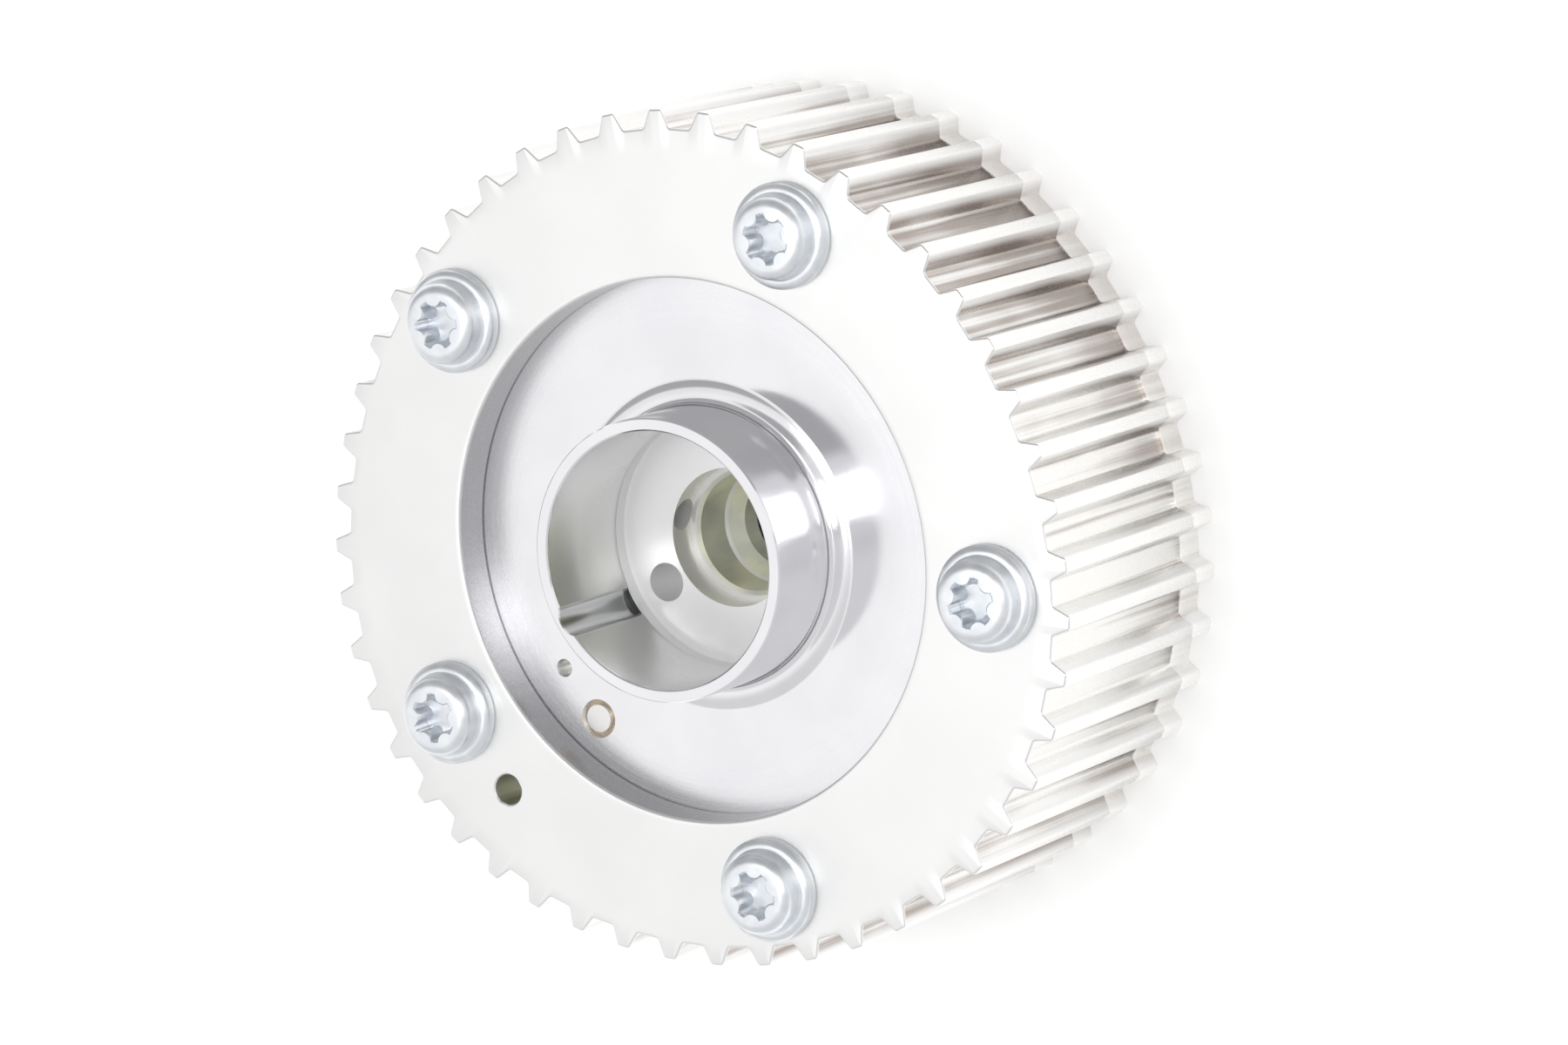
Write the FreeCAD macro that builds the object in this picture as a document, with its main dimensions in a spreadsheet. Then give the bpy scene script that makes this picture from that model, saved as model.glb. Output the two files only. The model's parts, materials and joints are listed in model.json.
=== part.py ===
import FreeCAD, Part
import Sketcher
import math
import os
import re
from FreeCAD import Placement, Rotation, Vector

# Camshaft pulley: a three-lobed toothed housing with a vane phaser inside.
# Millimetres. +Z leaves the camshaft-side face; that face is z = 0 and the axis is Z.

document = FreeCAD.newDocument("camshaft_pulley")

# Driving dimensions
SIZES = [
    ("teeth_count", 48, "teeth on the rim"),
    ("tip_radius", 60.43, "mean radius over the tooth tips"),
    ("lobe_rise", 1.36, "how far each of the three lobes stands over the mean radius"),
    ("tooth_phase", 0.5, "arc length from +X to the first groove centre, in pitches"),
    ("groove_depth", 2.6, "depth of a belt groove"),
    ("groove_floor", 3.4, "width of a groove floor"),
    ("groove_slope", 27, "slope of a tooth flank from the radius, degrees"),
    ("tip_rounding", 0.5, "rounding of the tooth tips"),
    ("root_rounding", 0.6, "rounding of the groove corners"),
    ("front_rise", 0.25, "how much shallower the grooves of the front cover are"),
    ("rim_wall", 2.47, "wall between the deepest groove and the cavity"),
    ("front_flange", 5.5, "thickness of the toothed flange of the front cover"),
    ("web_thickness", 6.0, "thickness of the housing's face over the rear cover"),
    ("web_overlap", 5.6, "how far the web reaches over the rear cover"),
    ("rear_thickness", 3.5, "thickness of the rear cover"),
    ("cover_margin", 4.5, "distance from the rear cover's edge to the screws' circle"),
    ("register_length", 2.5, "how far the front cover reaches into the housing"),
    ("chamber_length", 24.5, "length of the vane chambers"),
    ("seat_clearance", 0.05, "radial clearance of pieces that seat in a bore"),
    ("collar_radius", 20.0, "outer radius of the seal collar"),
    ("collar_wall", 1.8, "wall of the collar, between its seal face and its bore"),
    ("collar_height", 7.7, "how far the collar stands out of the face"),
    ("collar_bevel", 0.6, "bevel on both edges of the collar's rim"),
    ("shoulder_width", 2.8, "width of the low shoulder round the collar's foot"),
    ("shoulder_height", 0.35, "height of that shoulder"),
    ("keyway_radius", 2.9, "radius of the round keyway in the collar's bore"),
    ("keyway_inset", 1.85, "distance of the keyway's centre from the collar's bore"),
    ("seal_cord", 0.7, "cord radius of the sealing rings"),
    ("seal_inset", 2.8, "distance of the rear sealing ring from the rear cover's edge"),
    ("groove_spare", 0.2, "spare width of a sealing-ring groove on each side"),
    ("vane_count", 5, "vanes, chamber lobes and cover screws"),
    ("ring_wall", 12.0, "wall of the chamber ring outside the chambers"),
    ("lobe_angle", 28, "width of a chamber lobe, degrees"),
    ("vane_angle", 18, "width of a vane, degrees"),
    ("stop_gap", 0.5, "gap between a vane and its stop at each end, degrees"),
    ("vane_tip_gap", 0.1, "gap between a vane's tip and the chamber wall"),
    ("side_gap", 0.04, "gap between the rotor and each cover"),
    ("hub_radius", 24.0, "radius of the rotor's hub"),
    ("hub_gap", 0.1, "gap between the hub and the lobe tips"),
    ("nose_step", 0.2, "how much narrower the camshaft seat is than the collar's bore"),
    ("nose_depth", 12.0, "depth of the camshaft seat below the face"),
    ("sleeve_radius", 9.95, "radius of the sleeve bore"),
    ("sleeve_top", 16.7, "depth of the bolt sleeve's upper end below the face"),
    ("sleeve_inner", 8.6, "radius of the sleeve's upper bore"),
    ("sleeve_step", 23.6, "depth of the step in the sleeve below the face"),
    ("bolt_radius", 6.5, "radius of the central bolt bore"),
    ("sleeve_foot", 27.0, "depth of the sleeve's foot below the face"),
    ("foot_radius", 12.5, "radius of the sleeve's foot"),
    ("foot_thickness", 2.0, "thickness of the sleeve's foot"),
    ("head_room_radius", 15.0, "radius of the room for the bolt head"),
    ("feed_radius", 2.35, "radius of the oil drilling from the sleeve bore"),
    ("feed_angle", 46, "its angle behind +X, degrees"),
    ("feed_depth", 14.4, "its depth below the face"),
    ("branch_radius", 1.6, "radius of the five drillings from the bolt head's room"),
    ("branch_rise", 2.7, "their distance from the chambers' front end"),
    ("branch_turn", 4.5, "their angle from the flanks of the vanes, degrees"),
    ("gallery_radius", 2.8, "radius of the oil hole in the camshaft seat"),
    ("gallery_offset", 13.4, "distance of that oil hole from the axis"),
    ("gallery_depth", 20.5, "depth of its end below the face"),
    ("cross_radius", 1.6, "radius of the drilling that crosses it"),
    ("cross_depth", 18.4, "depth of that drilling below the face"),
    ("lock_inset", 9.9, "distance of the locking pin from the chamber wall"),
    ("lock_angle", 5.2, "angle of the locking pin from +X, degrees"),
    ("vent_radius", 1.2, "radius of the vent hole over the locking pin"),
    ("pin_radius", 3.0, "radius of the locking pin"),
    ("pin_clearance", 0.03, "radial clearance of the locking pin"),
    ("pin_length", 14.0, "length of the locking pin"),
    ("pin_standoff", 0.2, "gap between the drawn-back pin and the rear cover"),
    ("pin_bevel", 0.5, "bevel on the pin's nose"),
    ("pin_travel", 1.2, "further travel of the pin before it stops"),
    ("pin_bore", 2.1, "radius of the spring bore in the pin"),
    ("pin_bore_depth", 9.0, "depth of the spring bore in the pin"),
    ("plug_thickness", 3.0, "thickness of the pin's end plug"),
    ("guide_radius", 0.9, "radius of the plug's spring guide"),
    ("coil_radius", 1.5, "centre radius of the pin spring's coil"),
    ("wire_radius", 0.25, "radius of the spring wire"),
    ("coil_turns", 9, "turns of the pin spring"),
    ("bush_radius", 4.5, "outer radius of the lock bush"),
    ("bush_bore", 3.15, "bore radius of the lock bush"),
    ("bush_depth", 1.8, "depth of the lock bush"),
    ("dowel_radius", 2.0, "radius of the dowel hole"),
    ("dowel_clearance", 0.01, "radial clearance of the dowel"),
    ("dowel_inset", 10.9, "distance of the dowel from the rear cover's edge"),
    ("dowel_angle", 20.8, "angle of the dowel from +X, degrees"),
    ("dowel_length", 10.5, "length of the dowel"),
    ("dowel_sink", 2.8, "radius of the countersink round the dowel"),
    ("timing_radius", 2.2, "radius of the setting hole in the face"),
    ("timing_shift", 0.2, "how far the setting hole lies outside the screws' circle"),
    ("timing_angle", 16.6, "angle of the setting hole from +X, degrees"),
    ("timing_depth", 6.0, "depth of the setting hole in the chamber ring"),
    ("seal_width", 2.0, "width of a seal slot"),
    ("seal_slot", 4.0, "depth of a seal slot"),
    ("seal_depth", 2.9, "radial depth of a seal strip"),
    ("seal_gap", 0.03, "running gap of a seal strip"),
    ("leaf_thickness", 0.2, "thickness of a leaf spring"),
    ("screw_wall", 5.5, "distance of the screws' circle from the cavity's wall"),
    ("shank_radius", 3.45, "radius of a cover screw's shank"),
    ("shank_cover", 1.5, "distance of a screw's end from the front face"),
    ("tap_cover", 1.0, "distance of a screw hole's end from the front face"),
    ("hole_clearance", 0.25, "clearance of the screws in their through holes"),
    ("thread_clearance", 0.05, "clearance of the screws in the front cover"),
    ("flange_radius", 7.4, "radius of a screw head's flange"),
    ("flange_thickness", 2.1, "thickness of that flange"),
    ("dome_radius", 5.9, "radius of the head above the flange"),
    ("dome_draft", 0.2, "how much narrower the head is below its dome"),
    ("dome_drop", 1.3, "height of the dome"),
    ("dome_shoulder", 0.8, "width of the dome's steep part"),
    ("dome_slope", 0.4, "height of the dome's shallow part"),
    ("dome_edge", 1.8, "width of the whole dome"),
    ("head_height", 5.1, "height of the screw head"),
    ("drive_radius", 3.33, "radius of the six-lobe drive"),
    ("drive_inner", 2.39, "radius between the lobes of the drive"),
    ("drive_tip", 0.66, "tip rounding of the drive's lobes"),
    ("drive_depth", 3.2, "depth of the drive"),
    ("drive_turn", 23, "turn of each screw's drive against the one before, degrees"),
    ("cap_radius", 19.0, "radius of the centre plug's head"),
    ("cap_thickness", 2.0, "thickness of that head"),
    ("cap_thread_radius", 16.9, "radius of the plug's threaded body"),
    ("cap_thread_length", 4.0, "length of that body"),
    ("cap_clearance", 0.1, "radial clearance of the plug"),
    ("cap_socket_width", 14.0, "width across the flats of the plug's socket"),
    ("cap_socket_depth", 3.5, "depth of that socket"),
]

# Sizes that follow from others and from the named clearances
DERIVED = {
    "cavity_radius": "tip_radius - lobe_rise - groove_depth - rim_wall",
    "chamber_radius": "cavity_radius - ring_wall",
    "screw_circle": "cavity_radius - screw_wall",
    "rear_radius": "screw_circle - cover_margin",
    "recess_radius": "rear_radius - web_overlap",
    "rear_seal_radius": "rear_radius - seal_inset",
    "lock_offset": "chamber_radius - lock_inset",
    "dowel_offset": "rear_radius - dowel_inset",
    "timing_offset": "screw_circle + timing_shift",
    "lobe_tip_radius": "hub_radius + hub_gap",
    "collar_bore": "collar_radius - collar_wall",
    "keyway_centre": "collar_bore - keyway_inset",
    "nose_radius": "collar_bore - nose_step",
    "branch_depth": "web_thickness + rear_thickness + chamber_length - branch_rise",
    "housing_length": "web_thickness + rear_thickness + chamber_length + register_length",
    "shank_length": "housing_length + front_flange - shank_cover",
    "tap_depth": "register_length + front_flange - tap_cover",
}

sheet = document.addObject("Spreadsheet::Sheet", "sizes")
for row, (word, value, note) in enumerate(SIZES, start=1):
    sheet.set("A%d" % row, word)
    sheet.set("B%d" % row, str(value))
    sheet.set("C%d" % row, note)
    sheet.setAlias("B%d" % row, word)
document.recompute()

WORDS = set(word for word, value, note in SIZES)
NODES = []


def size(word):
    """The value of a word: the sheet's own, or worked out where it follows from others."""
    return number(DERIVED[word]) if word in DERIVED else float(sheet.get(word))


def number(text):
    """Value of a sum or difference of sheet words and numbers."""
    total, sign = 0.0, 1.0
    for token in text.split():
        if token in "+-":
            sign = 1.0 if token == "+" else -1.0
        else:
            total += sign * (float(token) if token[0].isdigit() else size(token))
    return total


def linked(text):
    """An expression in sheet words, as the expression engine wants it."""
    def replace(match):
        word = match.group(0)
        if word in DERIVED:
            return "(" + linked(DERIVED[word]) + ")"
        return "sizes." + word if word in WORDS else word

    return re.sub(r"[a-z_]+", replace, text)


def bind(item, **properties):
    """Tie properties of an object to expressions; double underscores stand for dots."""
    for name, text in properties.items():
        item.setExpression(name.replace("__", "."), linked(text))
    return item


def node(item, name):
    """Name an object as one of the part's pieces."""
    item.Label = name
    NODES.append(item)
    return item


def polar(radius, angle):
    """Expressions for the x and y of a point at a radius and an angle in degrees."""
    return "(%s) * cos((%s) * 1deg)" % (radius, angle), "(%s) * sin((%s) * 1deg)" % (radius, angle)


def cylinder(name, radius, height, bottom, at=("0", "0")):
    """Upright cylinder between bottom and bottom + height."""
    item = document.addObject("Part::Cylinder", name)
    return bind(item, Radius=radius, Height=height, Placement__Base__x=at[0],
                Placement__Base__y=at[1], Placement__Base__z=bottom)


def sector(name, radius, height, bottom, start, width):
    """Wedge of a cylinder, from an angle and over a width in degrees."""
    item = cylinder(name, radius, height, bottom)
    return bind(item, Angle=width, Placement__Rotation__Angle=start)


def radial_box(name, inner, outer, width, bottom, height, angle):
    """Box that runs outward between two radii, centred on an angle in degrees."""
    item = document.addObject("Part::Box", name)
    x = "(%s) * cos((%s) * 1deg) + (%s) / 2 * sin((%s) * 1deg)" % (inner, angle, width, angle)
    y = "(%s) * sin((%s) * 1deg) - (%s) / 2 * cos((%s) * 1deg)" % (inner, angle, width, angle)
    return bind(item, Length="(%s) - (%s)" % (outer, inner), Width=width, Height=height,
                Placement__Base__x=x, Placement__Base__y=y, Placement__Base__z=bottom,
                Placement__Rotation__Angle=angle)


def drilling(name, radius, length, start, depth, angle):
    """Level cylinder that runs outward from a radius, at a depth and an angle in degrees."""
    item = document.addObject("Part::Cylinder", name)
    x, y = polar(start, angle)
    item.Placement = Placement(Vector(0, 0, 0), Rotation(Vector(0, 1, 0), 90))
    bind(item, Radius=radius, Height=length)
    turned = document.addObject("Part::Compound", name + "_turned")
    turned.Links = [item]
    return bind(turned, Placement__Base__x=x, Placement__Base__y=y, Placement__Base__z="-(%s)" % depth,
                Placement__Rotation__Angle=angle)


def fuse(name, items):
    """One solid from several that touch or overlap."""
    item = document.addObject("Part::MultiFuse", name)
    item.Shapes = items
    return item


def cut(name, base, tools):
    """A base with all the tools taken out of it."""
    item = document.addObject("Part::Cut", name)
    item.Base = base
    item.Tool = tools[0] if len(tools) == 1 else fuse(name + "_tools", tools)
    return item


def turned_body(name, outline):
    """Body of revolution; the outline is a list of (radius, height) sums of sheet words."""
    body = document.addObject("PartDesign::Body", name)
    sketch = body.newObject("Sketcher::SketchObject", name + "_outline")
    plane = [f for f in body.Origin.OriginFeatures if f.Role == "XZ_Plane"][0]
    sketch.AttachmentSupport = [(plane, "")]
    sketch.MapMode = "FlatFace"
    count = len(outline)
    corners = [Vector(number(r), number(h), 0) for r, h in outline]
    for i in range(count):
        sketch.addGeometry(Part.LineSegment(corners[i], corners[(i + 1) % count]), False)
    for i in range(count):
        sketch.addConstraint(Sketcher.Constraint("Coincident", i, 2, (i + 1) % count, 1))
    for i, (r, h) in enumerate(outline):
        for kind, axis, text in (("DistanceX", -2, r), ("DistanceY", -1, h)):
            if text == "0":
                sketch.addConstraint(Sketcher.Constraint("PointOnObject", i, 1, axis))
            else:
                index = sketch.addConstraint(Sketcher.Constraint(kind, -1, 1, i, 1, number(text)))
                sketch.setExpression("Constraints[%d]" % index, linked(text))
    turn = body.newObject("PartDesign::Revolution", name + "_turn")
    turn.Profile = sketch
    turn.ReferenceAxis = (sketch, ["V_Axis"])
    turn.Angle = 360
    body.Tip = turn
    return body


def stock(name, shape, angle=0.0):
    """Piece whose shape is worked out by part functions, turned about the axis by an angle."""
    item = document.addObject("Part::Feature", name)
    item.Shape = shape
    item.Placement = Placement(Vector(0, 0, 0), Rotation(Vector(0, 0, 1), angle))
    return item


# Toothed rim
def tip_point(angle):
    """Point and outward normal of the three-lobed tip curve r = R + a cos 3t."""
    radius = size("tip_radius") + size("lobe_rise") * math.cos(3 * angle)
    slope = -3 * size("lobe_rise") * math.sin(3 * angle)
    out = Vector(math.cos(angle), math.sin(angle), 0)
    along = Vector(-math.sin(angle), math.cos(angle), 0)
    tangent = out * slope + along * radius
    tangent.normalize()
    return out * radius, Vector(tangent.y, -tangent.x, 0), tangent


def groove_angles():
    """Angles that part the tip curve into equal lengths, one per tooth."""
    steps = 3600
    lengths = [0.0]
    for i in range(steps):
        a = tip_point(2 * math.pi * i / steps)[0]
        b = tip_point(2 * math.pi * (i + 1) / steps)[0]
        lengths.append(lengths[-1] + (b - a).Length)
    count = int(size("teeth_count"))
    angles = []
    for k in range(count):
        goal = (k + size("tooth_phase")) % count * lengths[-1] / count
        i = max(j for j in range(steps) if lengths[j] <= goal)
        share = (goal - lengths[i]) / (lengths[i + 1] - lengths[i])
        angles.append(2 * math.pi * (i + share) / steps)
    return sorted(angles)


def rounded_face(points, radii):
    """Flat face inside a closed polygon whose corners are rounded."""
    ends, arcs = [], []
    count = len(points)
    for i in range(count):
        corner, radius = points[i], radii[i]
        back = points[i - 1] - corner
        ahead = points[(i + 1) % count] - corner
        half = back.getAngle(ahead) / 2
        back.normalize()
        ahead.normalize()
        middle = back + ahead
        middle.normalize()
        reach = radius / math.tan(half)
        centre = corner + middle * (radius / math.sin(half))
        ends.append((corner + back * reach, corner + ahead * reach))
        arcs.append(Part.Arc(ends[-1][0], centre - middle * radius, ends[-1][1]).toShape())
    edges = []
    for i in range(count):
        edges.append(arcs[i])
        edges.append(Part.makeLine(ends[i][1], ends[(i + 1) % count][0]))
    return Part.Face(Part.Wire(edges))


def toothed_blank(depth, bottom, height):
    """Solid toothed disc with grooves of a given depth."""
    low = size("groove_floor") / 2
    high = low + size("groove_depth") * math.tan(math.radians(size("groove_slope")))
    low = high - depth * math.tan(math.radians(size("groove_slope")))
    points, radii = [], []
    for angle in groove_angles():
        middle, normal, tangent = tip_point(angle)
        for across, inward in ((-high, 0), (-low, depth), (low, depth), (high, 0)):
            points.append(middle + tangent * across - normal * inward + Vector(0, 0, bottom))
            radii.append(size("root_rounding") if inward else size("tip_rounding"))
    return rounded_face(points, radii).extrude(Vector(0, 0, height))


STEP = "360 / vane_count * %d"
SCREW_SPOTS = [polar("screw_circle", STEP % k) for k in range(int(size("vane_count")))]
FLOOR = "0 - web_thickness"
SEAT = "0 - web_thickness - rear_thickness"
CHAMBER_END = SEAT + " - chamber_length"
FRONT_FACE = "0 - housing_length - front_flange"
LOCK = polar("lock_offset", "lock_angle")
DOWEL = polar("dowel_offset", "dowel_angle")
TIMING = polar("timing_offset", "timing_angle")

# Toothed housing: rim, face web, seat for the rear cover and cavity for the chamber ring
blank = stock("housing_blank",
              toothed_blank(size("groove_depth"), -size("housing_length"), size("housing_length")))
bores = [
    cylinder("recess", "recess_radius", "web_thickness + 1", FLOOR),
    cylinder("rear_seat", "rear_radius + seat_clearance", "rear_thickness", SEAT),
    cylinder("cavity", "cavity_radius", "housing_length - web_thickness - rear_thickness + 1",
             "0 - housing_length - 1"),
    cylinder("setting_hole", "timing_radius", "web_thickness + rear_thickness + 1", SEAT, TIMING),
]
bores += [cylinder("housing_hole_%d" % k, "shank_radius + hole_clearance", "web_thickness + rear_thickness + 1",
                   SEAT, spot) for k, spot in enumerate(SCREW_SPOTS)]
node(cut("housing_solid", blank, bores), "toothed_housing")

# Rear cover: polished disc with the seal collar standing out of it
GROOVE_IN = "rear_seal_radius - seal_cord - groove_spare"
GROOVE_OUT = "rear_seal_radius + seal_cord + groove_spare"
disc = turned_body("rear_disc", [
    ("collar_bore", SEAT),
    ("rear_radius", SEAT),
    ("rear_radius", FLOOR),
    (GROOVE_OUT, FLOOR),
    (GROOVE_OUT, FLOOR + " - seal_cord - seal_cord"),
    (GROOVE_IN, FLOOR + " - seal_cord - seal_cord"),
    (GROOVE_IN, FLOOR),
    ("collar_radius + shoulder_width", FLOOR),
    ("collar_radius + shoulder_width", FLOOR + " + shoulder_height"),
    ("collar_radius", FLOOR + " + shoulder_height"),
    ("collar_radius", "collar_height - collar_bevel"),
    ("collar_radius - collar_bevel", "collar_height"),
    ("collar_bore + collar_bevel", "collar_height"),
    ("collar_bore", "collar_height - collar_bevel"),
])
sink = document.addObject("Part::Cone", "dowel_sink_cone")
bind(sink, Radius1="dowel_radius", Radius2="dowel_sink", Height="dowel_sink - dowel_radius",
     Placement__Base__x=DOWEL[0], Placement__Base__y=DOWEL[1],
     Placement__Base__z=FLOOR + " - dowel_sink + dowel_radius")
node(cut("rear_solid", disc, [
    cylinder("keyway", "keyway_radius", "web_thickness + rear_thickness + collar_height + 2", SEAT + " - 1",
             ("keyway_centre", "0")),
    cylinder("vent", "vent_radius", "rear_thickness + 2", SEAT + " - 1", LOCK),
    cylinder("bush_seat", "bush_radius", "bush_depth + 1", SEAT + " - 1", LOCK),
    cylinder("rear_dowel_hole", "dowel_radius", "rear_thickness + 2", SEAT + " - 1", DOWEL),
    sink,
]), "rear_cover")

ring = document.addObject("Part::Torus", "rear_ring")
bind(ring, Radius1="rear_seal_radius", Radius2="seal_cord - seal_gap",
     Placement__Base__z=FLOOR + " - seal_cord")
node(ring, "rear_seal_ring")

bush = turned_body("bush_body", [
    ("bush_bore", SEAT),
    ("bush_radius", SEAT),
    ("bush_radius", SEAT + " + bush_depth"),
    ("bush_bore", SEAT + " + bush_depth"),
])
bind(bush, Placement__Base__x=LOCK[0], Placement__Base__y=LOCK[1])
node(bush, "lock_bush")

dowel = document.addObject("Part::Cylinder", "dowel")
bind(dowel, Radius="dowel_radius - dowel_clearance", Height="dowel_length", Placement__Base__x=DOWEL[0],
     Placement__Base__y=DOWEL[1], Placement__Base__z=FLOOR + " - dowel_length")
node(dowel, "dowel_pin")

# Chamber ring: ring with inward lobes that the vanes turn between
LOBE_MIDDLE = "lock_angle + vane_angle / 2 + stop_gap + lobe_angle / 2 + " + STEP
LOBE_START = "lock_angle + vane_angle / 2 + stop_gap + lobe_angle + " + STEP
chambers = [cylinder("chamber_core", "lobe_tip_radius", "chamber_length + 2", CHAMBER_END + " - 1")]
chambers += [sector("chamber_%d" % k, "chamber_radius", "chamber_length + 2", CHAMBER_END + " - 1",
                    LOBE_START % k, "360 / vane_count - lobe_angle") for k in range(int(size("vane_count")))]
slots = [radial_box("lobe_slot_%d" % k, "lobe_tip_radius - 1", "lobe_tip_radius + seal_slot", "seal_width",
                    CHAMBER_END + " - 1", "chamber_length + 2", LOBE_MIDDLE % k)
         for k in range(int(size("vane_count")))]
holes = [cylinder("ring_hole_%d" % k, "shank_radius + hole_clearance", "chamber_length + 2",
                  CHAMBER_END + " - 1", spot) for k, spot in enumerate(SCREW_SPOTS)]
holes.append(cylinder("ring_dowel_hole", "dowel_radius", "dowel_length - rear_thickness + 1.5",
                      FLOOR + " - dowel_length - 0.5", DOWEL))
holes.append(cylinder("ring_setting_hole", "timing_radius", "timing_depth + 1",
                      SEAT + " - timing_depth", TIMING))
outer = cylinder("ring_outer", "cavity_radius - seat_clearance", "chamber_length", CHAMBER_END)
node(cut("ring_solid", outer, chambers + slots + holes), "chamber_ring")

# Rotor: hub with five vanes, camshaft seat, oil ways and the bore of the locking pin
ROTOR_END = CHAMBER_END + " + side_gap"
ROTOR_LENGTH = "chamber_length - side_gap - side_gap"
VANE_TIP = "chamber_radius - vane_tip_gap"
VANE_MIDDLE = "lock_angle + " + STEP
hub = fuse("rotor_blank", [cylinder("hub", "hub_radius", ROTOR_LENGTH, ROTOR_END)] + [
    sector("vane_%d" % k, VANE_TIP, ROTOR_LENGTH, ROTOR_END, VANE_MIDDLE % k + " - vane_angle / 2",
           "vane_angle")
    for k in range(int(size("vane_count")))])
ways = [
    cylinder("nose_seat", "nose_radius", "nose_depth", "0 - nose_depth"),
    cylinder("sleeve_bore", "sleeve_radius", "sleeve_foot", "0 - sleeve_foot"),
    cylinder("foot_seat", "foot_radius + seat_clearance", "foot_thickness + 1",
             "0 - sleeve_foot - foot_thickness - 1"),
    cylinder("head_room", "head_room_radius", "chamber_length",
             "0 - sleeve_foot - foot_thickness - chamber_length"),
    cylinder("pin_way", "pin_radius + pin_clearance", "chamber_length + 2", CHAMBER_END + " - 1", LOCK),
    cylinder("gallery", "gallery_radius", "gallery_depth - nose_depth + 1", "0 - gallery_depth",
             ("gallery_offset", "0")),
    drilling("cross_way", "cross_radius", "hub_radius", "gallery_offset", "cross_depth", "0 - vane_angle"),
]
ways.append(drilling("feed", "feed_radius", "hub_radius - sleeve_radius + 5", "sleeve_radius - 1",
                     "feed_depth", "0 - feed_angle"))
ways += [drilling("branch_%d" % k, "branch_radius", "hub_radius - head_room_radius + 2", "head_room_radius - 1",
                  "branch_depth", VANE_MIDDLE % k + " - vane_angle / 2 - branch_turn")
         for k in range(int(size("vane_count")))]
ways += [radial_box("vane_slot_%d" % k, VANE_TIP + " - seal_slot", VANE_TIP + " + 1", "seal_width",
                    CHAMBER_END + " - 1", "chamber_length + 2", VANE_MIDDLE % k)
         for k in range(int(size("vane_count")))]
node(cut("rotor_solid", hub, ways), "rotor")

sleeve = turned_body("sleeve_body", [
    ("bolt_radius", "0 - sleeve_foot - foot_thickness"),
    ("foot_radius", "0 - sleeve_foot - foot_thickness"),
    ("foot_radius", "0 - sleeve_foot"),
    ("sleeve_radius", "0 - sleeve_foot"),
    ("sleeve_radius", "0 - sleeve_top"),
    ("sleeve_inner + collar_bevel", "0 - sleeve_top"),
    ("sleeve_inner", "0 - sleeve_top - collar_bevel"),
    ("sleeve_inner", "0 - sleeve_step"),
    ("bolt_radius", "0 - sleeve_step - sleeve_inner + bolt_radius"),
])
node(sleeve, "bolt_sleeve")

# Locking pin, its spring and its end plug
PIN_TOP = SEAT + " - pin_standoff"
PIN_END = PIN_TOP + " - pin_length"
pin = turned_body("pin_body", [
    ("pin_bore", PIN_END),
    ("pin_radius", PIN_END),
    ("pin_radius", PIN_TOP + " - pin_bevel"),
    ("pin_radius - pin_bevel", PIN_TOP),
    ("0", PIN_TOP),
    ("0", PIN_END + " + pin_bore_depth"),
    ("pin_bore", PIN_END + " + pin_bore_depth"),
])
bind(pin, Placement__Base__x=LOCK[0], Placement__Base__y=LOCK[1])
node(pin, "locking_pin")

PLUG_TOP = ROTOR_END + " + plug_thickness"
plug = turned_body("plug_body", [
    ("0", ROTOR_END),
    ("pin_radius", ROTOR_END),
    ("pin_radius", PLUG_TOP),
    ("guide_radius", PLUG_TOP),
    ("guide_radius", PIN_END + " + pin_bore_depth - pin_travel"),
    ("0", PIN_END + " + pin_bore_depth - pin_travel"),
])
bind(plug, Placement__Base__x=LOCK[0], Placement__Base__y=LOCK[1])
node(plug, "locking_pin_plug")


def coil(radius, wire, turns, length):
    """Open coil of round wire that stands from z = 0 to its length."""
    rise = length - 2 * wire
    spine = Part.makeHelix(rise / turns, rise, radius)
    spine.translate(Vector(0, 0, wire))
    ring = Part.Wire(Part.makeCircle(wire, Vector(radius, 0, wire), Vector(0, 1, 0)))
    shell = Part.Wire(spine).makePipeShell([ring], True, True)
    return shell if shell.ShapeType == "Solid" else Part.Solid(shell)


spring_foot = number(PLUG_TOP)
spring_length = number(PIN_END + " + pin_bore_depth") - spring_foot
spring = stock("spring_wire", coil(size("coil_radius"), size("wire_radius"), size("coil_turns"), spring_length))
bind(spring, Placement__Base__x=LOCK[0], Placement__Base__y=LOCK[1], Placement__Base__z=PLUG_TOP)
node(spring, "locking_pin_spring")


# Seal strips and their leaf springs, one of each per vane tip and per lobe tip
def leaf(inner, outer, width, bottom, height, thickness):
    """Bowed strip of spring steel between two radii, along +X."""
    side = -width / 2
    low, high = bottom, bottom + height
    middle = (low + high) / 2
    back = [Vector(inner, side, low), Vector(outer - thickness, side, middle), Vector(inner, side, high)]
    face = [Vector(inner + thickness, side, high), Vector(outer, side, middle),
            Vector(inner + thickness, side, low)]
    edges = [Part.Arc(*back).toShape(), Part.makeLine(back[2], face[0]), Part.Arc(*face).toShape(),
             Part.makeLine(face[2], back[0])]
    return Part.Face(Part.Wire(edges)).extrude(Vector(0, width, 0))


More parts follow.
